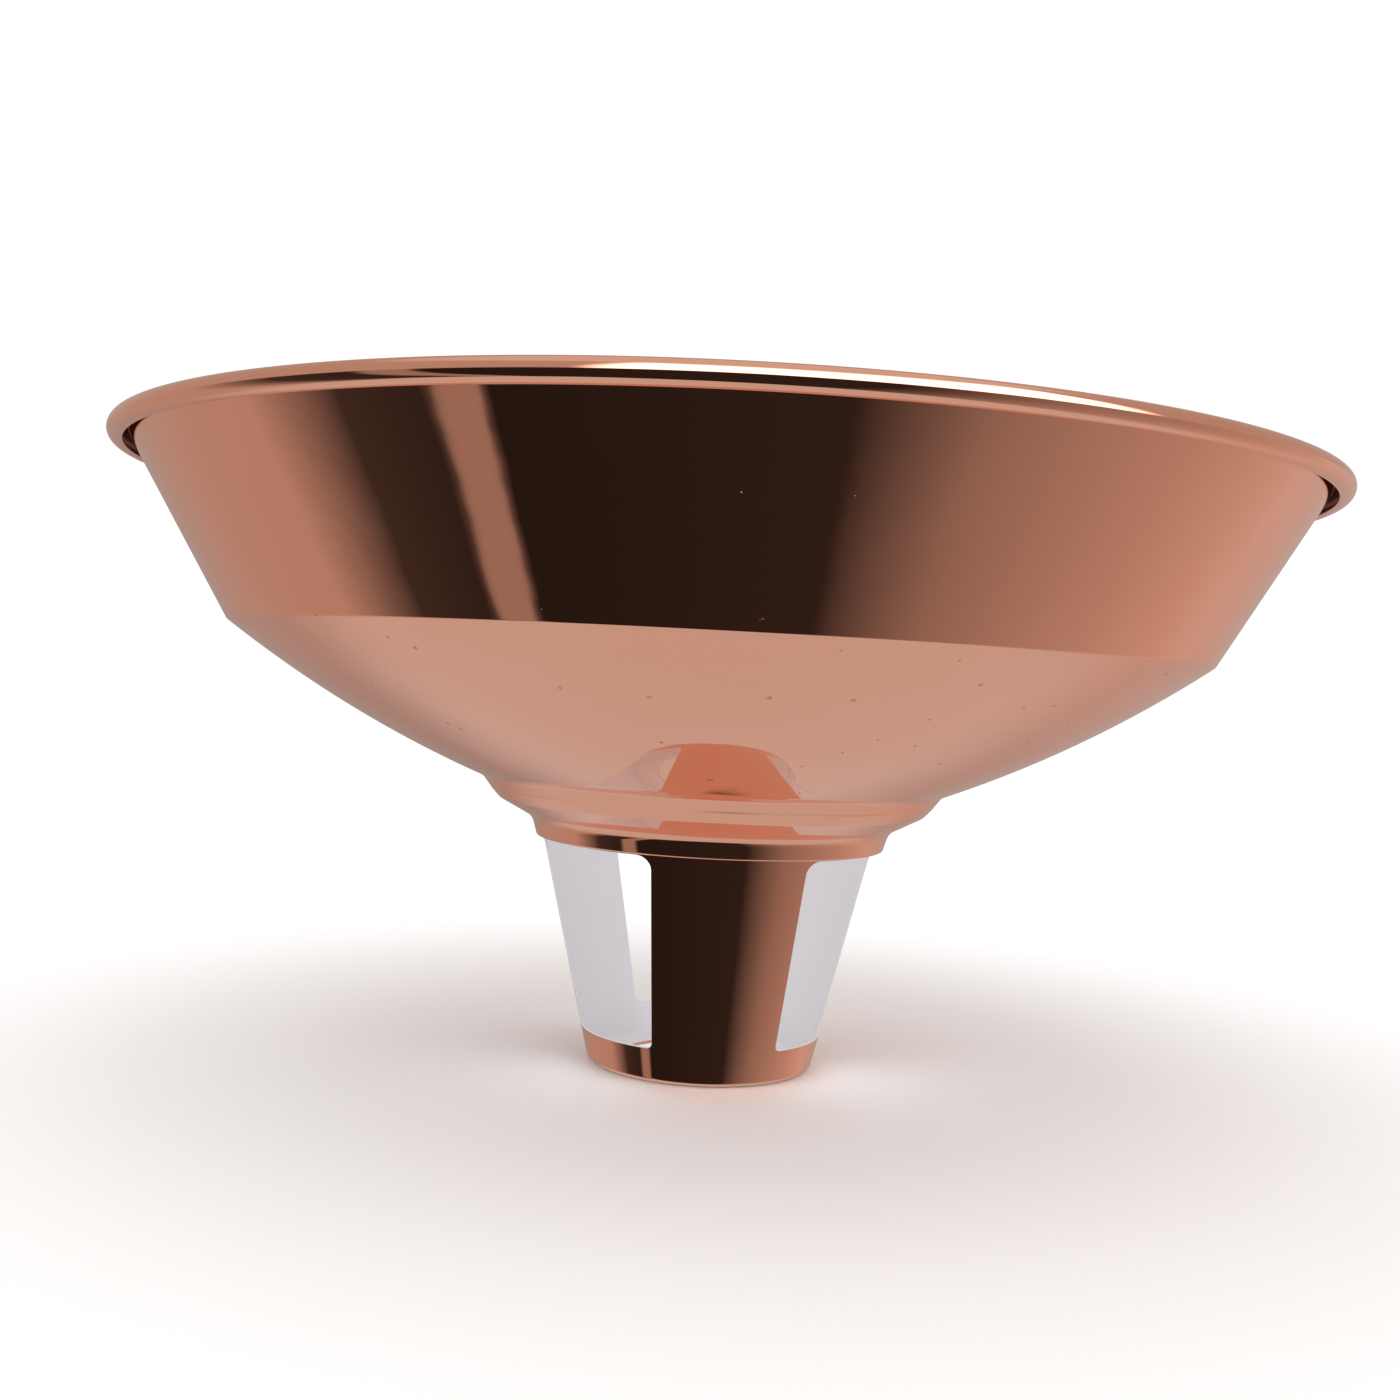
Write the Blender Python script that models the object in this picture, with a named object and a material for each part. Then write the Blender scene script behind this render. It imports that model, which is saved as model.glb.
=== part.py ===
"""A spun and pressed sheet-metal pendant lampshade, mouth up, in two pieces.

shade_body is the reflector: one spun sheet with a stepped throat, a shallow
dome, a straight conical wall and an open rolled hem round the mouth.
neck_gallery is the vented neck: a pressed cone with three windows, a flat end
plate with the lampholder hole, and a flange that lies inside the throat.
Units are metres. +Z points up and out of the mouth. The origin is the centre
of the neck's end face.
"""

import math

import bmesh
import bpy

MM = 0.001
SEGMENTS = 64
SHEET = 0.6
SEAT_GAP = 0.35

# Neck gallery
END_RADIUS = 29.65
END_CORNER = 1.6
NECK_SLOPE = 0.249
HOLE_RADIUS = 21.0
FLANGE_RADIUS = 54.4
FLANGE_FILLET = 2.0

# Windows of the neck
WINDOW_CENTRES_DEG = (-57.4, 57.4, 180.0)
WINDOW_BOTTOM = 8.9
WINDOW_TOP = 58.3
WINDOW_HALF_BOTTOM = 14.9
WINDOW_HALF_TOP = 22.9
WINDOW_CORNER_BOTTOM = 1.8
WINDOW_CORNER_TOP = 3.0

# Throat of the shade body: outer skin, from the collar's lip to the dome
LIP_RADIUS = 44.80
COLLAR_FOOT = (46.0, 58.6)
COLLAR_HEAD = (47.5, 63.6)
RING_FOOT = (56.3, 68.3)
RING_EDGE = (58.55, 70.75)
RING_HEAD = (58.85, 71.3)
DOME_START = (60.9, 73.9)

# Dome, knuckle, wall and hem
DOME_SAG = 2.4
KNUCKLE = (126.0, 110.4)
KNUCKLE_FILLET = 2.0
RIM_RADIUS = 155.0
RIM_HEIGHT = 155.5
HEM_RADIUS = 2.5
HEM_END_DEG = -115.0


def add(a, b, k=1.0):
    return (a[0] + k * b[0], a[1] + k * b[1])


def unit(a, b):
    dx = b[0] - a[0]
    dz = b[1] - a[1]
    length = math.hypot(dx, dz)
    return (dx / length, dz / length)


def arc(centre, radius, start_deg, end_deg, steps):
    """Points of a circle's arc, both ends in."""
    points = []
    for i in range(steps + 1):
        angle = math.radians(start_deg + (end_deg - start_deg) * i / steps)
        points.append(add(centre, (math.cos(angle), math.sin(angle)), radius))
    return points


def bowed(start, end, sag, steps):
    """Points of the shallow arc from start to end that bows down and outward by sag."""
    along = unit(start, end)
    chord = math.dist(start, end)
    out = (along[1], -along[0])
    radius = (chord * chord / 4 + sag * sag) / (2 * sag)
    middle = add(start, along, chord / 2)
    centre = add(middle, out, sag - radius)
    first = math.degrees(math.atan2(start[1] - centre[1], start[0] - centre[0]))
    last = math.degrees(math.atan2(end[1] - centre[1], end[0] - centre[0]))
    return arc(centre, radius, first, last, steps)


def filleted(corners, step_deg):
    """A polyline through corners of (point, radius), each rounded by its radius."""
    path = [corners[0][0]]
    for before, (point, radius), after in zip(corners, corners[1:], corners[2:]):
        into = unit(before[0], point)
        away = unit(point, after[0])
        cross = into[0] * away[1] - into[1] * away[0]
        dot = into[0] * away[0] + into[1] * away[1]
        turn = math.atan2(cross, dot)
        if radius <= 0 or abs(turn) < math.radians(2):
            path.append(point)
            continue
        back = radius * math.tan(abs(turn) / 2)
        side = math.copysign(1.0, turn)
        first = add(point, into, -back)
        centre = add(first, (-into[1] * side, into[0] * side), radius)
        steps = max(1, round(abs(math.degrees(turn)) / step_deg))
        start = math.degrees(math.atan2(first[1] - centre[1], first[0] - centre[0]))
        path += arc(centre, radius, start, start + math.degrees(turn), steps)
    path.append(corners[-1][0])
    return path


def offset(path, distance):
    """The path moved sideways, to the left of its direction, with mitred corners."""
    moved = []
    for i, point in enumerate(path):
        into = unit(path[i - 1], point) if i else unit(point, path[1])
        away = unit(point, path[i + 1]) if i < len(path) - 1 else into
        tangent = (into[0] + away[0], into[1] + away[1])
        length = math.hypot(*tangent)
        tangent = (tangent[0] / length, tangent[1] / length)
        cosine = tangent[0] * into[0] + tangent[1] * into[1]
        moved.append(add(point, (-tangent[1], tangent[0]), distance / cosine))
    return moved


def lathe(name, loop):
    """One solid of revolution about Z from a closed loop of (radius, height) in mm."""
    mesh = bmesh.new()
    verts = [mesh.verts.new((radius * MM, 0.0, height * MM)) for radius, height in loop]
    edges = [mesh.edges.new((verts[i - 1], verts[i])) for i in range(len(verts))]
    bmesh.ops.spin(
        mesh,
        geom=verts + edges,
        cent=(0.0, 0.0, 0.0),
        axis=(0.0, 0.0, 1.0),
        angle=2 * math.pi,
        steps=SEGMENTS,
        use_merge=True,
    )
    bmesh.ops.recalc_face_normals(mesh, faces=mesh.faces)
    data = bpy.data.meshes.new(name)
    mesh.to_mesh(data)
    mesh.free()
    data.shade_smooth()
    data.set_sharp_from_angle(angle=math.radians(40))
    body = bpy.data.objects.new(name, data)
    bpy.context.scene.collection.objects.link(body)
    return body


def copper(name, colour, roughness):
    material = bpy.data.materials.new(name)
    material.use_nodes = True
    shader = material.node_tree.nodes["Principled BSDF"]
    shader.inputs["Base Color"].default_value = (*colour, 1.0)
    shader.inputs["Metallic"].default_value = 1.0
    shader.inputs["Roughness"].default_value = roughness
    return material


def shade_body():
    """Outer skin from the collar's lip to the hem, then back along the inner skin."""
    throat = filleted(
        [
            ((LIP_RADIUS, COLLAR_FOOT[1]), 0),
            (COLLAR_FOOT, 0.65),
            (COLLAR_HEAD, 4.2),
            (RING_FOOT, 3.0),
            (RING_EDGE, 0.7),
            (RING_HEAD, 0.5),
            (DOME_START, 3.0),
            (bowed(DOME_START, KNUCKLE, DOME_SAG, 7)[1], 0),
        ],
        step_deg=24.0,
    )
    dome = bowed(DOME_START, KNUCKLE, DOME_SAG, 7)
    # The wall's inner skin runs tangent into the hem's circle.
    centre = (RIM_RADIUS - HEM_RADIUS, RIM_HEIGHT - HEM_RADIUS)
    span = math.dist(KNUCKLE, centre)
    bearing = math.atan2(centre[1] - KNUCKLE[1], centre[0] - KNUCKLE[0])
    wall = bearing + math.asin((HEM_RADIUS - SHEET) / span)
    start_deg = math.degrees(wall) + 90.0
    hem = arc(centre, HEM_RADIUS - SHEET, start_deg, 90.0, 2)
    hem += arc(centre, HEM_RADIUS - SHEET, 90.0, 0.0, 3)[1:]
    hem += arc(centre, HEM_RADIUS - SHEET, 0.0, HEM_END_DEG, 4)[1:]
    corner = filleted([(dome[-2], 0), (KNUCKLE, KNUCKLE_FILLET), (hem[0], 0)], step_deg=8.0)
    skin = throat[:-1] + dome[1:-2] + corner[1:-1] + hem
    inner = offset(skin, SHEET)
    return lathe("shade_body", skin + inner[::-1])


def window_cutter(turn_deg):
    """A prism through the neck's wall, with the window's rounded outline."""
    corners = [
        (0.0, WINDOW_BOTTOM, 0),
        (WINDOW_HALF_BOTTOM, WINDOW_BOTTOM, WINDOW_CORNER_BOTTOM),
        (WINDOW_HALF_TOP, WINDOW_TOP, WINDOW_CORNER_TOP),
        (-WINDOW_HALF_TOP, WINDOW_TOP, WINDOW_CORNER_TOP),
        (-WINDOW_HALF_BOTTOM, WINDOW_BOTTOM, WINDOW_CORNER_BOTTOM),
        (0.0, WINDOW_BOTTOM, 0),
    ]
    outline = filleted([((x, z), r) for x, z, r in corners], step_deg=18.0)[1:]
    turn = math.radians(turn_deg)
    mesh = bmesh.new()
    near = []
    far = []
    for x, z in outline:
        for reach, ring in ((12.0, near), (62.0, far)):
            px = x * math.cos(turn) + reach * math.sin(turn)
            py = x * math.sin(turn) - reach * math.cos(turn)
            ring.append(mesh.verts.new((px * MM, py * MM, z * MM)))
    mesh.faces.new(near)
    mesh.faces.new(far)
    for i in range(len(outline)):
        j = (i + 1) % len(outline)
        mesh.faces.new((near[i], far[i], far[j], near[j]))
    bmesh.ops.recalc_face_normals(mesh, faces=mesh.faces)
    data = bpy.data.meshes.new("window_cutter")
    mesh.to_mesh(data)
    mesh.free()
    cutter = bpy.data.objects.new("window_cutter", data)
    bpy.context.scene.collection.objects.link(cutter)
    cutter.hide_render = True
    cutter.display_type = "WIRE"
    return cutter


def neck_gallery():
    """End plate, cone and flange, with the windows cut through the cone."""
    # The flange lies along the ring, one gap above the ring's inner skin.
    along = unit(COLLAR_HEAD, RING_FOOT)
    seat = add(COLLAR_HEAD, (-along[1], along[0]), SHEET + SEAT_GAP)
    rise = along[1] / along[0]
    # Where the cone's outer skin meets the flange's.
    top = (seat[1] - rise * seat[0] + rise * END_RADIUS) / (1 - rise * NECK_SLOPE)
    tip = add(seat, along, (FLANGE_RADIUS - seat[0]) / along[0])
    skin = filleted(
        [
            ((HOLE_RADIUS, 0.0), 0),
            ((END_RADIUS, 0.0), END_CORNER),
            ((END_RADIUS + NECK_SLOPE * top, top), FLANGE_FILLET),
            (tip, 0),
        ],
        step_deg=24.0,
    )
    inner = offset(skin, SHEET)
    neck = lathe("neck_gallery", skin + inner[::-1])
    for centre_deg in WINDOW_CENTRES_DEG:
        cutter = window_cutter(centre_deg)
        cut = neck.modifiers.new("window", "BOOLEAN")
        cut.operation = "DIFFERENCE"
        cut.solver = "EXACT"
        cut.object = cutter
    return neck


for old in list(bpy.data.objects):
    bpy.data.objects.remove(old, do_unlink=True)

shade_body().data.materials.append(copper("plated_body", (0.955, 0.56, 0.42), 0.08))
neck_gallery().data.materials.append(copper("plated_neck", (0.93, 0.53, 0.39), 0.10))
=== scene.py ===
"""A copper-plated pendant lampshade, mouth up, as its visual model.

Two pieces of spun and pressed sheet steel, plated outside and enamelled inside:
the shade with its rolled hem, and the vented neck that is seated in its throat.
Profiles are in millimetres, as (radius, height) from the neck's end face.
"""

import math

import bmesh
import bpy
import numpy as np
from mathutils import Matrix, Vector


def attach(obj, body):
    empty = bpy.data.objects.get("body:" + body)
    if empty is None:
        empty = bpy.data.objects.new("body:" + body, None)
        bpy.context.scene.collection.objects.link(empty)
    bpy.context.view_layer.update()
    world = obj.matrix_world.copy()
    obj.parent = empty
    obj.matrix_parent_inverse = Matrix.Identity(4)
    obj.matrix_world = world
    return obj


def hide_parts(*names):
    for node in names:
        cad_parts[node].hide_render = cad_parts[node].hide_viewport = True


MM = 0.001
SHEET = 0.6
SEAT_GAP = 0.35
EDGE_ROUND = 0.12

# How finely the sheets are divided
TURN_STEPS = 288
WINDOW_COLUMNS = 80
WINDOW_ROWS = 44
CORNER_STEPS = 4
RUN_STEP = 4.0
ROUND_STEP_DEG = 4.0
BEND_STEP_DEG = 5.0
DOME_STEP_DEG = 0.45
HEM_STEP_DEG = 8.0
# Least distance between a profile's own points and the zone of the windows
ZONE_CLEAR = 0.5
# Shares of the dome where the throat's last run aims, and where the dome's arc starts
THROAT_AIM = 0.06
DOME_FROM = 0.07
# Length of dome left out before the knuckle's round
KNUCKLE_CLEAR = 0.8

# Neck gallery
END_RADIUS = 29.65
END_CORNER = 1.6
NECK_SLOPE = 0.249
HOLE_RADIUS = 21.0
FLANGE_RADIUS = 54.4
FLANGE_FILLET = 2.0

# Windows of the neck
WINDOW_CENTRES_DEG = (-57.4, 57.4, 180.0)
WINDOW_BOTTOM = 8.9
WINDOW_TOP = 58.3
WINDOW_HALF_BOTTOM = 14.9
WINDOW_HALF_TOP = 22.9
WINDOW_CORNER_BOTTOM = 1.8
WINDOW_CORNER_TOP = 3.0
WINDOW_CUT_FROM = WINDOW_BOTTOM - 2.4
WINDOW_CUT_TO = WINDOW_TOP + 1.2
# Rings of quads round a window, as shares of the way from its edge to its sector's border
WINDOW_RINGS = (0.012, 0.03, 0.07, 0.15, 0.3, 0.5, 0.75)
# Rounding of a window's cut edge: share of the sheet's depth, and how far it stands out
CUT_EDGE = ((0.03, 0.55), (0.16, 1.0), (0.5, 1.25), (0.84, 1.0), (0.97, 0.55))

# Throat of the shade body: outer skin, from the collar's lip to the dome
LIP_RADIUS = 44.80
COLLAR_FOOT = (46.0, 58.6)
COLLAR_HEAD = (47.5, 63.6)
RING_FOOT = (56.3, 68.3)
RING_EDGE = (58.55, 70.75)
RING_HEAD = (58.89, 71.27)
DOME_START = (60.9, 73.9)

# Dome, knuckle, wall and hem
DOME_SAG = 2.4
KNUCKLE = (126.0, 110.4)
KNUCKLE_FILLET = 2.0
RIM_RADIUS = 155.0
RIM_HEIGHT = 155.5
HEM_RADIUS = 2.5
HEM_END_DEG = -115.0
ENAMEL_RADIUS = 150.6

# Coats a face can have, as places in a piece's list of materials
PLATE = 0
ENAMEL = 1
# Inside the curl: plate darkened as painted shade of the hollow
SHADED_CURL = 2


# ---------------------------------------------------------------- profiles


def add(a, b, k=1.0):
    return (a[0] + k * b[0], a[1] + k * b[1])


def unit(a, b):
    dx = b[0] - a[0]
    dz = b[1] - a[1]
    length = math.hypot(dx, dz)
    return (dx / length, dz / length)


class Path:
    """A profile as points with the exact normal of the skin at each point."""

    def __init__(self):
        self.points = []
        self.normals = []

    def put(self, point, normal):
        if self.points and math.dist(point, self.points[-1]) < 1e-4:
            return
        self.points.append(point)
        self.normals.append(normal)

    def line(self, start, end):
        """A straight run; its normal is to the right of its direction."""
        along = unit(start, end)
        steps = max(1, math.ceil(math.dist(start, end) / RUN_STEP))
        for i in range(steps + 1):
            share = i / steps
            point = (start[0] + (end[0] - start[0]) * share, start[1] + (end[1] - start[1]) * share)
            self.put(point, (along[1], -along[0]))

    def arc(self, centre, radius, start, end, step_deg=ROUND_STEP_DEG):
        """Part of a circle between two angles in radians."""
        steps = max(2, math.ceil(abs(math.degrees(end - start)) / step_deg))
        sign = 1.0 if end > start else -1.0
        for i in range(steps + 1):
            angle = start + (end - start) * i / steps
            out = (math.cos(angle), math.sin(angle))
            self.put(add(centre, out, radius), (out[0] * sign, out[1] * sign))


def bow_circle(start, end, sag):
    """Centre and radius of the shallow arc that bows down and outward by sag."""
    along = unit(start, end)
    chord = math.dist(start, end)
    out = (along[1], -along[0])
    radius = (chord * chord / 4 + sag * sag) / (2 * sag)
    return add(add(start, along, chord / 2), out, sag - radius), radius


def fillet(before, corner, after, radius):
    """Centre, start angle and end angle of the round that blends a corner."""
    into = unit(before, corner)
    away = unit(corner, after)
    cross = into[0] * away[1] - into[1] * away[0]
    dot = into[0] * away[0] + into[1] * away[1]
    turn = math.atan2(cross, dot)
    first = add(corner, into, -radius * math.tan(abs(turn) / 2))
    side = math.copysign(1.0, turn)
    centre = add(first, (-into[1] * side, into[0] * side), radius)
    start = math.atan2(first[1] - centre[1], first[0] - centre[0])
    return centre, start, start + turn


def polyline(corners):
    """A path of straight runs with rounded corners, from (point, radius) pairs."""
    path = Path()
    at = corners[0][0]
    for before, (corner, radius), after in zip(corners, corners[1:], corners[2:]):
        centre, start, end = fillet(before[0], corner, after[0], radius)
        first = add(centre, (math.cos(start), math.sin(start)), radius)
        path.line(at, first)
        path.arc(centre, radius, start, end, BEND_STEP_DEG)
        at = path.points[-1]
    path.line(at, corners[-1][0])
    return path


def skin_of_shade():
    """Outer skin from the collar's lip to the raw edge inside the hem."""
    centre, radius = bow_circle(DOME_START, KNUCKLE, DOME_SAG)
    first = math.atan2(DOME_START[1] - centre[1], DOME_START[0] - centre[0])
    last = math.atan2(KNUCKLE[1] - centre[1], KNUCKLE[0] - centre[0])

    def on_dome(share):
        angle = first + (last - first) * share
        return add(centre, (math.cos(angle), math.sin(angle)), radius)

    path = polyline(
        [
            ((LIP_RADIUS, COLLAR_FOOT[1]), 0),
            (COLLAR_FOOT, 0.65),
            (COLLAR_HEAD, 4.2),
            (RING_FOOT, 3.0),
            (RING_EDGE, 0.7),
            (RING_HEAD, 0.5),
            (DOME_START, 3.0),
            (on_dome(THROAT_AIM), 0),
        ]
    )
    # The dome's own arc takes over from the last straight run.
    path.points.pop()
    path.normals.pop()
    # The wall's inner skin runs tangent into the hem's circle.
    hem = (RIM_RADIUS - HEM_RADIUS, RIM_HEIGHT - HEM_RADIUS)
    small = HEM_RADIUS - SHEET
    bearing = math.atan2(hem[1] - KNUCKLE[1], hem[0] - KNUCKLE[0])
    wall = bearing + math.asin(small / math.dist(KNUCKLE, hem))
    top_angle = wall + math.pi / 2
    wall_top = add(hem, (math.cos(top_angle), math.sin(top_angle)), small)
    # The knuckle's round leaves the dome along its last tangent and meets the wall.
    tangent = unit(on_dome(0.97), on_dome(0.9999))
    knuckle, leave, meet = fillet(add(KNUCKLE, tangent, -1.0), KNUCKLE, wall_top, KNUCKLE_FILLET)
    reach = KNUCKLE_FILLET * math.tan((meet - leave) / 2)
    stop = 1.0 - (reach + KNUCKLE_CLEAR) / math.dist(DOME_START, KNUCKLE)
    span = last - first
    path.arc(centre, radius, first + span * DOME_FROM, first + span * stop, DOME_STEP_DEG)
    path.arc(knuckle, KNUCKLE_FILLET, leave, meet)
    path.line(path.points[-1], wall_top)
    # The hem curls outward over the top and back under.
    path.arc(hem, small, top_angle, math.radians(HEM_END_DEG), HEM_STEP_DEG)
    return path


def raw_edge(point, normal, ahead):
    """Points and normals round the sheet's raw edge, from one skin to the other."""
    for share in (0.25, 0.5, 0.75):
        turn = math.pi * share
        across = add(point, normal, -SHEET * (1 - math.cos(turn)) / 2)
        way = (
            normal[0] * math.cos(turn) + ahead[0] * math.sin(turn),
            normal[1] * math.cos(turn) + ahead[1] * math.sin(turn),
        )
        yield add(across, ahead, EDGE_ROUND * math.sin(turn)), way


def closed_profile(path):
    """Outer skin, then back along the inner skin, with both raw edges rounded.

    Gives the loop of (point, normal) and how many of them the outer skin has.
    """
    outer = list(zip(path.points, path.normals))
    inner = [(add(p, n, -SHEET), (-n[0], -n[1])) for p, n in outer][::-1]
    loop = []
    for skin in (outer, inner):
        point, normal = skin[-1]
        loop += skin
        loop += raw_edge(point, normal, unit(skin[-2][0], point))
    return loop, len(outer)


def coat_of_shade(loop, skin):
    """Plate outside, enamel inside up to the hem, and inside the curl a darker plate that is painted
    shade.
    """
    kinds = [PLATE] * len(loop)
    hem = (RIM_RADIUS - HEM_RADIUS, RIM_HEIGHT - HEM_RADIUS)
    # Faces inside the curl take the darker plate, which is painted shade
    for j in range(skin):
        if math.dist(loop[j][0], hem) < HEM_RADIUS - SHEET + 0.01:
            kinds[j] = SHADED_CURL
    for j in range(skin, len(loop)):
        after = (j + 1) % len(loop)
        if max(loop[j][0][0], loop[after][0][0]) < ENAMEL_RADIUS:
            kinds[j] = ENAMEL
    return kinds


def spun(name, loop, coats, materials):
    """A solid of revolution with exact normals. coats has one coat for each edge of the loop."""
    count = len(loop)
    radii = np.array([p[0] for p, n in loop])
    heights = np.array([p[1] for p, n in loop])
    out = np.array([n[0] for p, n in loop])
    rise = np.array([n[1] for p, n in loop])
    turns = np.arange(TURN_STEPS) * 2 * math.pi / TURN_STEPS
    east = np.sin(turns)[:, None]
    north = -np.cos(turns)[:, None]
    places = np.stack([radii * east, radii * north, heights + 0 * east], axis=2).reshape(-1, 3) * MM
    normals = np.stack([out * east, out * north, rise + 0 * east], axis=2).reshape(-1, 3)
    faces = []
    kinds = []
    for i in range(TURN_STEPS):
        near = i * count
        far = ((i + 1) % TURN_STEPS) * count
        for j in range(count):
            k = (j + 1) % count
            faces.append((near + j, far + j, far + k, near + k))
            kinds.append(coats[j])
    mesh = bpy.data.meshes.new(name)
    mesh.from_pydata(places.tolist(), [], faces)
    return finished(name, mesh, kinds, normals, materials)


def finished(name, mesh, kinds, normals, materials):
    """Sets faces' materials and exact normals, and links the piece."""
    for material in materials:
        mesh.materials.append(material)
    mesh.polygons.foreach_set("material_index", np.array(kinds, dtype=np.int32))
    mesh.shade_smooth()
    mesh.update()
    mesh.normals_split_custom_set_from_vertices(normals.tolist())
    piece = bpy.data.objects.new(name, mesh)
    bpy.context.scene.collection.objects.link(piece)
    return piece


# ---------------------------------------------------------------- neck


def window_outline():
    """Points round a window as (across, height), as many as its sector's border has.

    Starts at the bottom right corner and runs up the right side, along the top,
    down the left side and back along the bottom.
    """
    foot = (WINDOW_HALF_BOTTOM, WINDOW_BOTTOM)
    head = (WINDOW_HALF_TOP, WINDOW_TOP)
    low = fillet((0.0, WINDOW_BOTTOM), foot, head, WINDOW_CORNER_BOTTOM)
    high = fillet(foot, head, (0.0, WINDOW_TOP), WINDOW_CORNER_TOP)

    def round_points(corner, radius, first, last):
        centre, start, end = corner
        points = []
        for i in range(CORNER_STEPS + 1):
            share = first + (last - first) * i / CORNER_STEPS
            angle = start + (end - start) * share
            points.append(add(centre, (math.cos(angle), math.sin(angle)), radius))
        return points

    def mirrored(points):
        return [(-x, z) for x, z in points]

    def level_run(start, count):
        """From a point to its mirror image, both left out."""
        straight = count - 2 * CORNER_STEPS
        return [(start[0] * (1 - 2 * i / straight), start[1]) for i in range(1, straight)]

    side = round_points(low, WINDOW_CORNER_BOTTOM, 0.5, 1.0)
    upper_round = round_points(high, WINDOW_CORNER_TOP, 0.0, 0.5)
    straight = WINDOW_ROWS - 2 * CORNER_STEPS
    start = side[-1]
    way = (upper_round[0][0] - start[0], upper_round[0][1] - start[1])
    side += [add(start, way, i / straight) for i in range(1, straight)] + upper_round
    top = round_points(high, WINDOW_CORNER_TOP, 0.5, 1.0)
    top += level_run(top[-1], WINDOW_COLUMNS)
    top += mirrored(round_points(high, WINDOW_CORNER_TOP, 1.0, 0.5))
    bottom = mirrored(round_points(low, WINDOW_CORNER_BOTTOM, 0.5, 0.0))
    bottom += level_run(bottom[-1], WINDOW_COLUMNS)
    bottom += round_points(low, WINDOW_CORNER_BOTTOM, 0.0, 0.5)
    left = mirrored(side[::-1])
    return side[:-1] + top[:-1] + left[:-1] + bottom[:-1]


def skin_of_neck():
    """Outer skin from the hole's edge to the flange's tip, and the flange's direction."""
    # The flange lies along the ring, one gap above the ring's inner skin.
    along = unit(COLLAR_HEAD, RING_FOOT)
    seat = add(COLLAR_HEAD, (-along[1], along[0]), SHEET + SEAT_GAP)
    rise = along[1] / along[0]
    top = (seat[1] - rise * seat[0] + rise * END_RADIUS) / (1 - rise * NECK_SLOPE)
    tip = add(seat, along, (FLANGE_RADIUS - seat[0]) / along[0])
    corners = [
        ((HOLE_RADIUS, 0.0), 0),
        ((END_RADIUS, 0.0), END_CORNER),
        ((END_RADIUS + NECK_SLOPE * top, top), FLANGE_FILLET),
        (tip, 0),
    ]
    return polyline(corners), along


def on_cone(height):
    return (END_RADIUS + NECK_SLOPE * height, height)


CONE_LENGTH = math.hypot(1.0, NECK_SLOPE)
CONE_NORMAL = (1.0 / CONE_LENGTH, -NECK_SLOPE / CONE_LENGTH)


def window_sectors():
    """For each window its centre and the middles of the strips beside it, in degrees."""
    centres = sorted(WINDOW_CENTRES_DEG)
    sectors = []
    for i, centre in enumerate(centres):
        before = centres[i - 1] - (360.0 if i == 0 else 0.0)
        after = centres[(i + 1) % len(centres)] + (360.0 if i == len(centres) - 1 else 0.0)
        sectors.append((centre, (before + centre) / 2, (centre + after) / 2))
    return sectors


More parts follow.
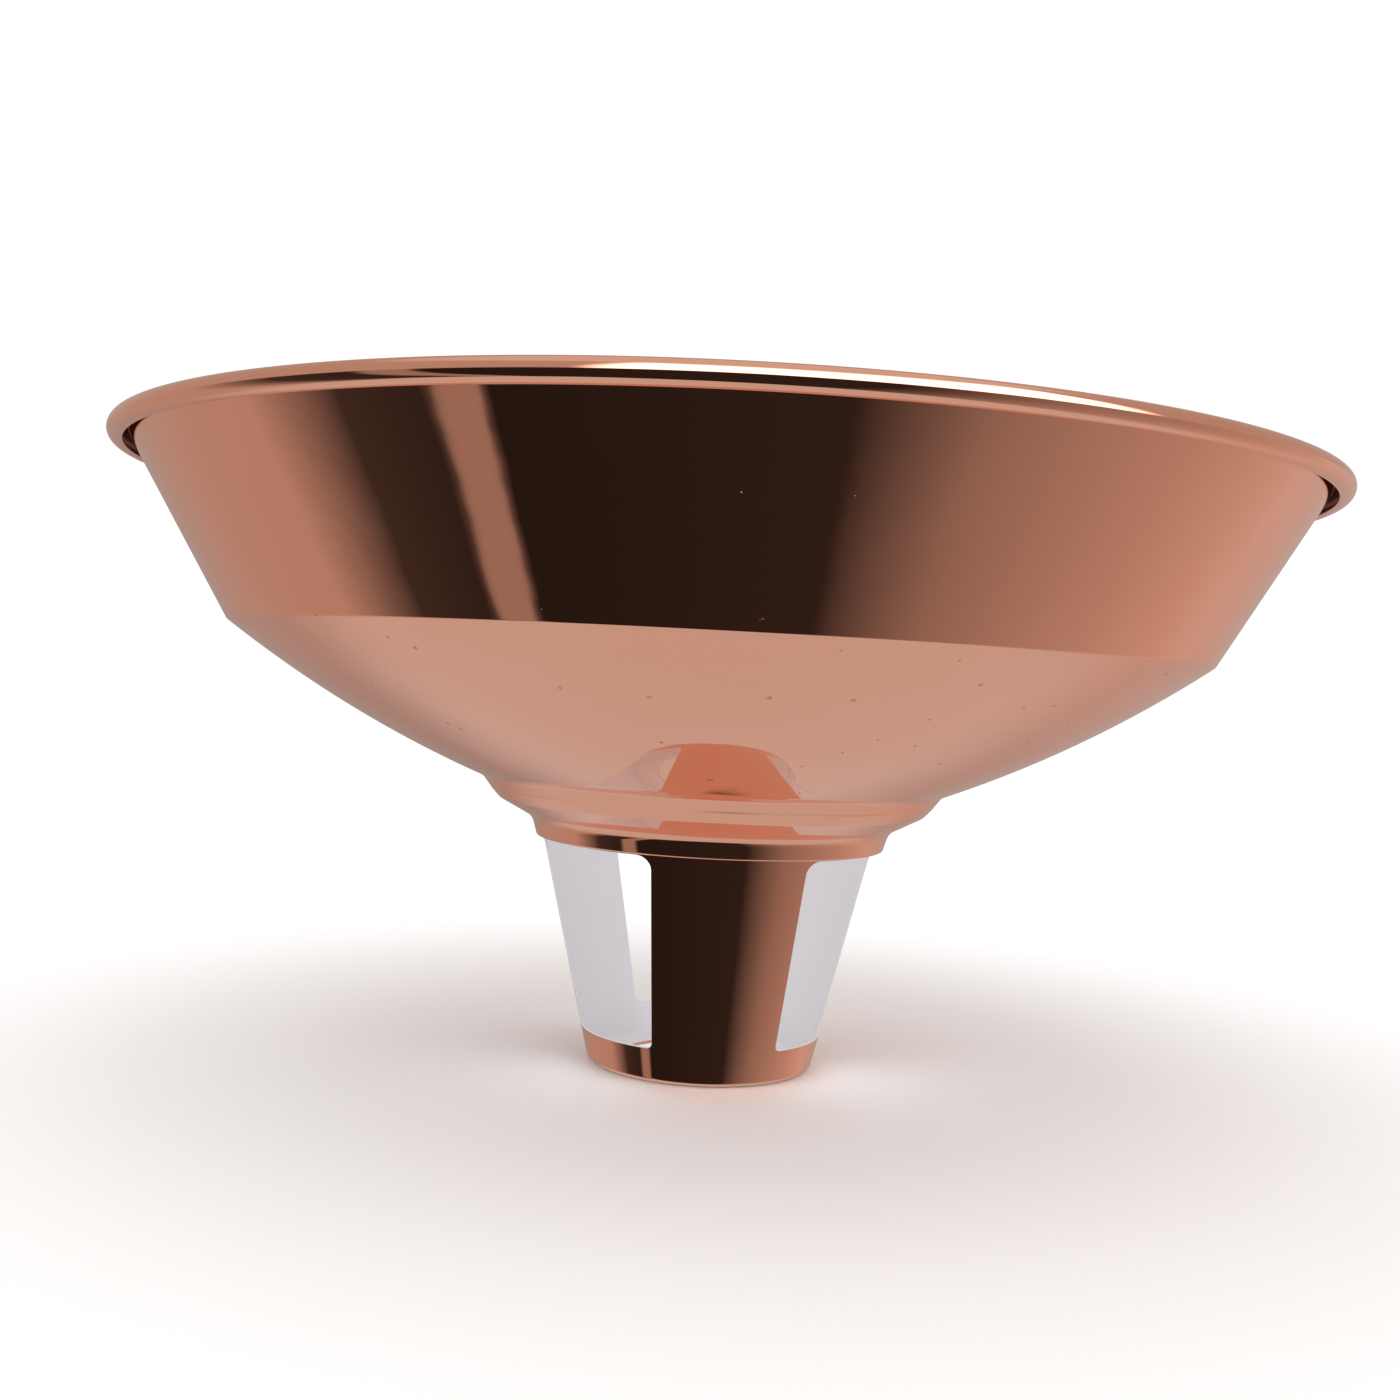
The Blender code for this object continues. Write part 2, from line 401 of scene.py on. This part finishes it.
class NeckMesh:
    """The neck's mesh as it grows: places, their normals, and faces with their coats."""

    def __init__(self, sectors):
        self.sectors = sectors
        self.turns = []
        for _, low, high in sectors:
            for i in range(WINDOW_COLUMNS):
                self.turns.append(math.radians(low + (high - low) * i / WINDOW_COLUMNS))
        self.places = []
        self.normals = []
        self.faces = []
        self.kinds = []

    def put(self, turn, point, normal):
        """One vertex, given in the profile's plane, turned about the axis."""
        east = math.sin(turn)
        north = -math.cos(turn)
        self.places.append((point[0] * east * MM, point[0] * north * MM, point[1] * MM))
        self.normals.append((normal[0] * east, normal[0] * north, normal[1]))
        return len(self.places) - 1

    def put_skin(self, turn, point, normal, inside):
        """One vertex of the outer skin, or of the inner one straight behind it."""
        if not inside:
            return self.put(turn, point, normal)
        return self.put(turn, add(point, normal, -SHEET), (-normal[0], -normal[1]))

    def ring(self, point, normal, inside=False):
        return [self.put_skin(turn, point, normal, inside) for turn in self.turns]

    def strip(self, first, second, kind, flip=False):
        """Quads between two closed rows of vertices."""
        for i in range(len(first)):
            j = (i + 1) % len(first)
            ahead = (first[i], first[j], second[j], second[i])
            back = (first[i], second[i], second[j], first[j])
            self.faces.append(back if flip else ahead)
            self.kinds.append(kind)

    def strips(self, rows, kind, flip=False):
        for first, second in zip(rows, rows[1:]):
            self.strip(first, second, kind, flip)

    def border(self, s, lower, upper, seams):
        """Vertices round a window's sector, and where they lie as (degrees, height)."""
        total = len(self.turns)
        base = s * WINDOW_COLUMNS
        end = (base + WINDOW_COLUMNS) % total
        left = [lower[base]] + seams[s] + [upper[base]]
        right = [lower[end]] + seams[(s + 1) % len(seams)] + [upper[end]]
        top = [upper[(base + i) % total] for i in range(WINDOW_COLUMNS + 1)]
        bottom = [lower[(base + i) % total] for i in range(WINDOW_COLUMNS + 1)]
        vertices = right[:-1] + top[::-1][:-1] + left[::-1][:-1] + bottom[:-1]
        _, low, high = self.sectors[s]
        tall = WINDOW_CUT_TO - WINDOW_CUT_FROM
        wide = high - low
        spots = [(high, WINDOW_CUT_FROM + tall * k / WINDOW_ROWS) for k in range(WINDOW_ROWS)]
        spots += [(high - wide * i / WINDOW_COLUMNS, WINDOW_CUT_TO) for i in range(WINDOW_COLUMNS)]
        spots += [(low, WINDOW_CUT_TO - tall * k / WINDOW_ROWS) for k in range(WINDOW_ROWS)]
        spots += [(low + wide * i / WINDOW_COLUMNS, WINDOW_CUT_FROM) for i in range(WINDOW_COLUMNS)]
        return vertices, spots

    def pierced(self, lower, upper, inside, kind):
        """The cone's zone with the windows, as rings of quads; gives each window's edge."""
        tall = WINDOW_CUT_TO - WINDOW_CUT_FROM
        seams = []
        for _, low, _ in self.sectors:
            turn = math.radians(low)
            seam = []
            for k in range(1, WINDOW_ROWS):
                height = WINDOW_CUT_FROM + tall * k / WINDOW_ROWS
                seam.append(self.put_skin(turn, on_cone(height), CONE_NORMAL, inside))
            seams.append(seam)
        depth = SHEET if inside else 0.0
        edges = []
        for s, (centre, _, _) in enumerate(self.sectors):
            vertices, spots = self.border(s, lower, upper, seams)
            outline = []
            for across, height in window_outline():
                radius = on_cone(height)[0] - depth * CONE_LENGTH
                outline.append((centre + math.degrees(math.asin(across / radius)), height))
            loops = []
            for share in WINDOW_RINGS:
                loop = []
                for (degrees, height), (far_degrees, far_height) in zip(outline, spots):
                    turn = math.radians(degrees + (far_degrees - degrees) * share)
                    point = on_cone(height + (far_height - height) * share)
                    loop.append(self.put_skin(turn, point, CONE_NORMAL, inside))
                loops.append(loop)
            edges.append(loops[0])
            loops.append(vertices)
            self.strips(loops[::-1] if inside else loops, kind, flip=True)
        return edges

    def skin(self, below, above, inside, kind):
        """One whole skin; gives its first ring, its last ring and the windows' edges."""
        lower = [self.ring(p, n, inside) for p, n in below]
        upper = [self.ring(p, n, inside) for p, n in above]
        for rings in (lower, upper):
            self.strips(rings[::-1] if inside else rings, kind)
        edges = self.pierced(lower[-1], upper[0], inside, kind)
        return lower[0], upper[-1], edges

    def round_edge(self, outer, inner, point, normal, ahead):
        """Rows of a raw edge that runs round the axis, gently rounded."""
        return [outer, *(self.ring(*spot) for spot in raw_edge(point, normal, ahead)), inner]

    def close_window(self, outer, inner):
        """A window's cut edge: a rounded wall between the two skins."""
        rows = [outer]
        count = len(outer)
        for level, pull in CUT_EDGE:
            tilt = (0.5 - level) * 2
            lean = max(math.sqrt(max(0.0, 1 - tilt**4)), 0.25)
            row = []
            for i in range(count):
                start = np.array(self.places[outer[i]])
                depth = np.array(self.places[inner[i]]) - start
                before = np.array(self.places[outer[i - 1]])
                after = np.array(self.places[outer[(i + 1) % count]])
                side = np.cross(after - before, depth)
                side /= np.linalg.norm(side)
                skin = -depth / np.linalg.norm(depth)
                way = side * lean + skin * math.copysign(abs(tilt) ** 3, tilt)
                way /= np.linalg.norm(way)
                self.places.append(tuple(start + depth * level + side * (EDGE_ROUND * MM * pull)))
                self.normals.append(tuple(way))
                row.append(len(self.places) - 1)
            rows.append(row)
        rows.append(inner)
        self.strips(rows, ENAMEL)


def neck_gallery(materials):
    """The vented cone as one mesh: rings of quads round each window, inner and outer skin."""
    path, along = skin_of_neck()
    profile = list(zip(path.points, path.normals))
    below = [(p, n) for p, n in profile if p[1] < WINDOW_CUT_FROM - ZONE_CLEAR]
    below.append((on_cone(WINDOW_CUT_FROM), CONE_NORMAL))
    above = [(on_cone(WINDOW_CUT_TO), CONE_NORMAL)]
    above += [(p, n) for p, n in profile if p[1] > WINDOW_CUT_TO + ZONE_CLEAR]

    neck = NeckMesh(window_sectors())
    first, last, edges = neck.skin(below, above, False, PLATE)
    first_inside, last_inside, edges_inside = neck.skin(below, above, True, ENAMEL)
    neck.strips(neck.round_edge(first, first_inside, *below[0], (-1.0, 0.0))[::-1], PLATE)
    neck.strips(neck.round_edge(last, last_inside, *above[-1], along), PLATE)
    for outer, inner in zip(edges, edges_inside):
        neck.close_window(outer, inner)

    mesh = bpy.data.meshes.new("neck_gallery_sheet")
    mesh.from_pydata(neck.places, [], neck.faces)
    return finished("neck_gallery_sheet", mesh, neck.kinds, np.array(neck.normals), materials)


# ---------------------------------------------------------------- materials


# Specks as (cell, largest size, share of cells with one), and depths, in metres
PITS = (0.006, 0.0009, 0.8)
DUST = (0.0042, 0.0002, 0.2)
NIBS = (0.009, 0.0005, 0.2)
PIT_DEPTH = 0.00008
NIB_HEIGHT = 0.00006
WAVE_DEPTH = 0.0002
RIPPLE_DEPTH = 0.000022
LINE_DEPTH = 0.0000006
PEEL_DEPTH = 0.000002
PIT_COLOUR = (0.16, 0.07, 0.05)
DUST_COLOUR = (0.66, 0.52, 0.46)
NIB_COLOUR = (0.42, 0.38, 0.36)


class Nodes:
    """Short calls for the nodes of one material."""

    def __init__(self, tree):
        self.tree = tree

    def put(self, kind, **settings):
        node = self.tree.nodes.new("ShaderNode" + kind)
        for key, value in settings.items():
            setattr(node, key, value)
        return node

    def link(self, source, target):
        self.tree.links.new(source, target)

    def value(self, socket, given):
        if isinstance(given, bpy.types.NodeSocket):
            self.link(given, socket)
        else:
            socket.default_value = given

    def math(self, operation, a, b=0.0, c=0.0):
        node = self.put("Math", operation=operation)
        for socket, given in zip(node.inputs, (a, b, c)):
            self.value(socket, given)
        return node.outputs[0]

    def smooth(self, given, low, high, out_low=0.0, out_high=1.0):
        """Smooth step of a value between two levels."""
        node = self.put("MapRange", interpolation_type="SMOOTHSTEP")
        for name, item in (
            ("Value", given),
            ("From Min", low),
            ("From Max", high),
            ("To Min", out_low),
            ("To Max", out_high),
        ):
            self.value(node.inputs[name], item)
        return node.outputs["Result"]

    def mix(self, share, a, b, blend="MIX"):
        node = self.put("Mix", data_type="RGBA", blend_type=blend)
        self.value(node.inputs["Factor"], share)
        self.value(node.inputs["A"], a if isinstance(a, bpy.types.NodeSocket) else (*a, 1.0))
        self.value(node.inputs["B"], b if isinstance(b, bpy.types.NodeSocket) else (*b, 1.0))
        return [o for o in node.outputs if o.type == "RGBA"][0]

    def ramp(self, given, stops):
        """A ramp of grey levels from (position, level) pairs."""
        node = self.put("ValToRGB")
        ramp = node.color_ramp
        while len(ramp.elements) < len(stops):
            ramp.elements.new(0.5)
        for element, (position, level) in zip(ramp.elements, stops):
            element.position = position
            element.color = (level, level, level, 1.0)
        self.value(node.inputs["Fac"], given)
        return node.outputs["Color"]

    def noise(self, vector, scale, detail=2.0, roughness=0.5, distortion=0.0):
        node = self.put("TexNoise")
        self.value(node.inputs["Vector"], vector)
        node.inputs["Scale"].default_value = scale
        node.inputs["Detail"].default_value = detail
        node.inputs["Roughness"].default_value = roughness
        node.inputs["Distortion"].default_value = distortion
        return node.outputs["Fac"]

    def combine(self, x, y, z):
        node = self.put("CombineXYZ")
        for socket, given in zip(node.inputs, (x, y, z)):
            self.value(socket, given)
        return node.outputs[0]

    def bump(self, height, strength, distance, normal=None):
        node = self.put("Bump")
        self.value(node.inputs["Height"], height)
        node.inputs["Strength"].default_value = strength
        node.inputs["Distance"].default_value = distance
        if normal is not None:
            self.link(normal, node.inputs["Normal"])
        return node.outputs["Normal"]

    def parts(self, vector):
        node = self.put("SeparateXYZ")
        self.link(vector, node.inputs[0])
        return node.outputs

    def place(self):
        """The point's place on the piece: as a vector, x, y, z, and distance from the axis."""
        coordinates = self.put("TexCoord").outputs["Object"]
        x, y, z = self.parts(coordinates)
        squares = self.math("ADD", self.math("MULTIPLY", x, x), self.math("MULTIPLY", y, y))
        return coordinates, x, y, z, self.math("SQRT", squares)


def new_material(name):
    material = bpy.data.materials.new(name)
    material.use_nodes = True
    tree = material.node_tree
    return material, Nodes(tree), tree.nodes["Principled BSDF"]


def specks(n, coordinates, cell, size, share):
    """Sparse round specks: 1 inside a speck, 0 elsewhere. Lengths in metres."""
    node = n.put("TexVoronoi", feature="F1", distance="EUCLIDEAN")
    n.link(coordinates, node.inputs["Vector"])
    node.inputs["Scale"].default_value = 1.0 / cell
    pick = n.parts(node.outputs["Color"])
    chosen = n.math("LESS_THAN", pick[0], share)
    reach = n.math("MULTIPLY_ADD", pick[1], size / cell * 0.7, size / cell * 0.3)
    inside = n.smooth(node.outputs["Distance"], reach, n.math("MULTIPLY", reach, 0.35))
    return n.math("MULTIPLY", inside, chosen)


def copper(name, colour, warm, roughness):
    """Bright copper plate: faint spinning lines, smudges, pits and a gentle waviness."""
    material, n, shader = new_material(name)
    coordinates, _, _, z, radius = n.place()
    patches = n.noise(coordinates, 22.0, 3.0, 0.55)
    tone = n.smooth(patches, 0.35, 0.7)
    # Pits are left in the dome by the press; dust lies all over.
    on_dome = n.math("MULTIPLY", n.smooth(z, 0.118, 0.108), n.smooth(z, 0.074, 0.08))
    pits = n.math("MULTIPLY", specks(n, coordinates, *PITS), on_dome)
    dust = specks(n, coordinates, *DUST)
    base = n.mix(tone, colour, warm)
    base = n.mix(n.math("MULTIPLY", pits, 0.35), base, PIT_COLOUR)
    base = n.mix(dust, base, DUST_COLOUR)
    n.link(base, shader.inputs["Base Color"])
    n.link(n.math("MULTIPLY_ADD", dust, -0.6, 1.0), shader.inputs["Metallic"])

    smudge = n.smooth(n.noise(coordinates, 38.0, 4.0, 0.62, 0.4), 0.5, 0.78)
    rough = n.math("MULTIPLY_ADD", smudge, 0.05, roughness)
    rough = n.math("MULTIPLY_ADD", pits, 0.25, rough)
    rough = n.math("MULTIPLY_ADD", dust, 0.4, rough)
    n.link(rough, shader.inputs["Roughness"])

    # Spinning lines run round the axis, so they vary along the profile only.
    waves = n.noise(coordinates, 30.0, 1.0, 0.4)
    ripples = n.noise(coordinates, 120.0, 1.0, 0.4)
    lines = n.noise(n.combine(radius, 0.0, z), 2600.0, 2.0, 0.6)
    marks = n.math("MAXIMUM", pits, n.math("MULTIPLY", dust, 0.3))
    normal = n.bump(waves, 1.0, WAVE_DEPTH)
    normal = n.bump(ripples, 1.0, RIPPLE_DEPTH, normal)
    normal = n.bump(lines, 1.0, LINE_DEPTH, normal)
    normal = n.bump(n.math("SUBTRACT", 1.0, marks), 1.0, PIT_DEPTH, normal)
    n.link(normal, shader.inputs["Normal"])
    return material


def enamel(name, colour):
    """Sprayed gloss enamel: slight orange peel, faint tone and a few dust nibs."""
    material, n, shader = new_material(name)
    coordinates = n.put("TexCoord").outputs["Object"]
    tone = n.smooth(n.noise(coordinates, 18.0, 2.0, 0.5), 0.3, 0.75)
    nibs = specks(n, coordinates, *NIBS)
    base = n.mix(tone, colour, tuple(c * 0.985 for c in colour))
    base = n.mix(n.math("MULTIPLY", nibs, 0.5), base, NIB_COLOUR)
    n.link(base, shader.inputs["Base Color"])
    rough = n.smooth(n.noise(coordinates, 55.0, 2.0, 0.5), 0.3, 0.8, 0.30, 0.34)
    n.link(rough, shader.inputs["Roughness"])
    peel = n.noise(coordinates, 900.0, 1.0, 0.4)
    normal = n.bump(peel, 1.0, PEEL_DEPTH)
    normal = n.bump(nibs, 1.0, NIB_HEIGHT, normal)
    n.link(normal, shader.inputs["Normal"])
    return material


# ---------------------------------------------------------------- studio


# Painted reflections for the metal: colours of a plain studio, seen only by mirror rays
WARM = (1.0, 0.80, 0.72)
PAPER = (0.62, 0.60, 0.59)
DIM_WALL = (0.50, 0.43, 0.39)
SOFTBOX_REFLECTION = (3.0, 3.0, 3.0)
CEILING = (0.70, 0.66, 0.64)
# Brightness of the walls by azimuth in degrees: 0 is the front, -Y, and 90 is +X
WALL_LEVELS = (
    (-180, 0.35),
    (-140, 0.50),
    (-110, 0.50),
    (-90, 0.05),
    (-72, 0.03),
    (-70, 0.35),
    (-62, 0.35),
    (-60, 0.02),
    (20, 0.03),
    (50, 0.30),
    (90, 0.50),
    (120, 0.65),
    (180, 0.35),
)


def painted_reflection_room():
    """Painted reflections for the metal: a paper sweep, a dim front and a softbox over it."""
    material = bpy.data.materials.new("room")
    material.use_nodes = True
    n = Nodes(material.node_tree)
    for node in list(n.tree.nodes):
        n.tree.nodes.remove(node)
    _, x, y, z, flat = n.place()
    azimuth = n.math("ARCTAN2", x, n.math("MULTIPLY", y, -1.0))
    degrees = n.math("MULTIPLY", azimuth, 180.0 / math.pi)
    height = n.math("MULTIPLY", n.math("ARCTAN2", z, flat), 180.0 / math.pi)

    # Walls, pale at the sides and behind, dark in front but for one upright pale card.
    share = n.math("MULTIPLY_ADD", degrees, 1.0 / 360.0, 0.5)
    level = n.ramp(share, [(d / 360.0 + 0.5, v) for d, v in WALL_LEVELS])
    walls = n.mix(1.0, level, WARM, "MULTIPLY")

    # White paper below; its edge lies lower and is sharper in front than behind.
    front = n.math("COSINE", azimuth)
    edge = n.math("MULTIPLY_ADD", front, -20.0, -50.0)
    half = n.math("MULTIPLY_ADD", front, -4.0, 6.0)
    on_paper = n.smooth(height, n.math("ADD", edge, half), n.math("SUBTRACT", edge, half))
    lower = n.mix(on_paper, walls, PAPER)

    # Above: the softbox in front, the metal's painted highlight, dim walls elsewhere, a ceiling on top.
    boxed = n.math("MULTIPLY", n.smooth(degrees, -35.0, -25.0), n.smooth(degrees, 70.0, 60.0))
    upper = n.mix(boxed, DIM_WALL, SOFTBOX_REFLECTION)
    upper = n.mix(n.smooth(height, 50.0, 62.0), upper, CEILING)
    above = n.smooth(height, 4.0, 9.0)

    # This glow lights nothing: only mirror rays see it, so it paints reflections into the metal
    glow = n.put("Emission")
    n.link(n.mix(above, lower, upper), glow.inputs["Color"])
    output = n.put("OutputMaterial")
    n.link(glow.outputs[0], output.inputs["Surface"])
    return material


def stage_object(name, mesh, material):
    mesh.materials.append(material)
    thing = bpy.data.objects.new(name, mesh)
    bpy.context.scene.collection.objects.link(thing)
    return thing


def studio():
    """Pale floor, white surroundings, soft lamps, and a room of painted reflections that only mirrors
    show.
    """
    world = bpy.data.worlds.new("studio")
    bpy.context.scene.world = world
    world.use_nodes = True
    background = world.node_tree.nodes["Background"]
    background.inputs["Color"].default_value = (1.0, 1.0, 1.0, 1.0)
    background.inputs["Strength"].default_value = 1.06
    bpy.context.scene.view_settings.view_transform = "Standard"

    paint, n, shader = new_material("floor_paint")
    coordinates = n.put("TexCoord").outputs["Object"]
    tone = n.noise(coordinates, 3.0, 2.0)
    n.link(n.mix(tone, (0.965, 0.965, 0.965), (0.975, 0.975, 0.975)), shader.inputs["Base Color"])
    shader.inputs["Roughness"].default_value = 0.9
    shader.inputs["Specular IOR Level"].default_value = 0.1
    plate = bpy.data.meshes.new("floor")
    plate.from_pydata([(-30, -30, 0), (30, -30, 0), (30, 30, 0), (-30, 30, 0)], [], [(0, 1, 2, 3)])
    floor = stage_object("floor", plate, paint)
    floor.location.z = -0.0002
    floor.visible_glossy = False

    shell = bmesh.new()
    bmesh.ops.create_uvsphere(shell, u_segments=96, v_segments=64, radius=60.0)
    ball = bpy.data.meshes.new("mirrored_room")
    shell.to_mesh(ball)
    shell.free()
    ball.shade_smooth()
    room = stage_object("mirrored_room", ball, painted_reflection_room())
    room.location.z = 0.08
    room.visible_camera = False
    room.visible_diffuse = False
    room.visible_transmission = False
    room.visible_volume_scatter = False
    room.visible_shadow = False

    for name, place, size, power in (
        ("lamp_over_mouth", (-0.3, -0.25, 1.6), 1.8, 4.0),
        ("lamp_left", (-1.8, -1.2, 1.0), 1.6, 3.0),
    ):
        data = bpy.data.lights.new(name, "AREA")
        data.shape = "DISK"
        data.size = size
        data.energy = power
        lamp = bpy.data.objects.new(name, data)
        lamp.location = place
        lamp.rotation_euler = (Vector((0, 0, 0.08)) - Vector(place)).to_track_quat("-Z", "Y").to_euler()
        lamp.visible_glossy = False
        bpy.context.scene.collection.objects.link(lamp)


# The photograph's viewing angle, from a fit to the object's outline
LENS_MM = 40.32
SENSOR_MM = 36.0
CAMERA_PLACE = (-0.05535, -0.41482, 0.10101)
CAMERA_TURN_DEG = (89.296, -2.913, -6.960)


def camera():
    data = bpy.data.cameras.new("camera")
    data.lens = LENS_MM
    data.sensor_width = SENSOR_MM
    data.clip_start = 0.01
    view = bpy.data.objects.new("camera", data)
    view.location = CAMERA_PLACE
    view.rotation_euler = [math.radians(turn) for turn in CAMERA_TURN_DEG]
    bpy.context.scene.collection.objects.link(view)
    bpy.context.scene.camera = view


# ---------------------------------------------------------------- scene


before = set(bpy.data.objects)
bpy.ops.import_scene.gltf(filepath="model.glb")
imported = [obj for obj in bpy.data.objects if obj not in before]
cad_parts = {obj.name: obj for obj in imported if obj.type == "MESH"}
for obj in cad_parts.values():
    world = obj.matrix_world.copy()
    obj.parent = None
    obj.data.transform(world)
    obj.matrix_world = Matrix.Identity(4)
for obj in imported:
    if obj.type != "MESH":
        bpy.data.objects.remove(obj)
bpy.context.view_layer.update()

plated_body = copper("plated_body_visual", (0.92, 0.47, 0.33), (0.93, 0.485, 0.345), 0.03)
plated_neck = copper("plated_neck_visual", (0.91, 0.46, 0.32), (0.92, 0.475, 0.335), 0.035)
# Darker, rougher copper for inside the curl: its dark colour is painted shade
curl_painted_shade = copper("curl_painted_shade", (0.30, 0.115, 0.08), (0.36, 0.14, 0.10), 0.38)
white_enamel = enamel("white_enamel", (0.71, 0.695, 0.72))

shade_loop, shade_skin = closed_profile(skin_of_shade())
shade_coats = coat_of_shade(shade_loop, shade_skin)
shade = spun("shade_body_sheet", shade_loop, shade_coats, [plated_body, white_enamel, curl_painted_shade])
neck = neck_gallery([plated_neck, white_enamel])
for piece, node, slot in (
    (shade, "shade_body", "plated_body"),
    (neck, "neck_gallery", "plated_neck"),
):
    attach(piece, "root")
    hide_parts(node)

studio()
camera()

bpy.context.view_layer.update()
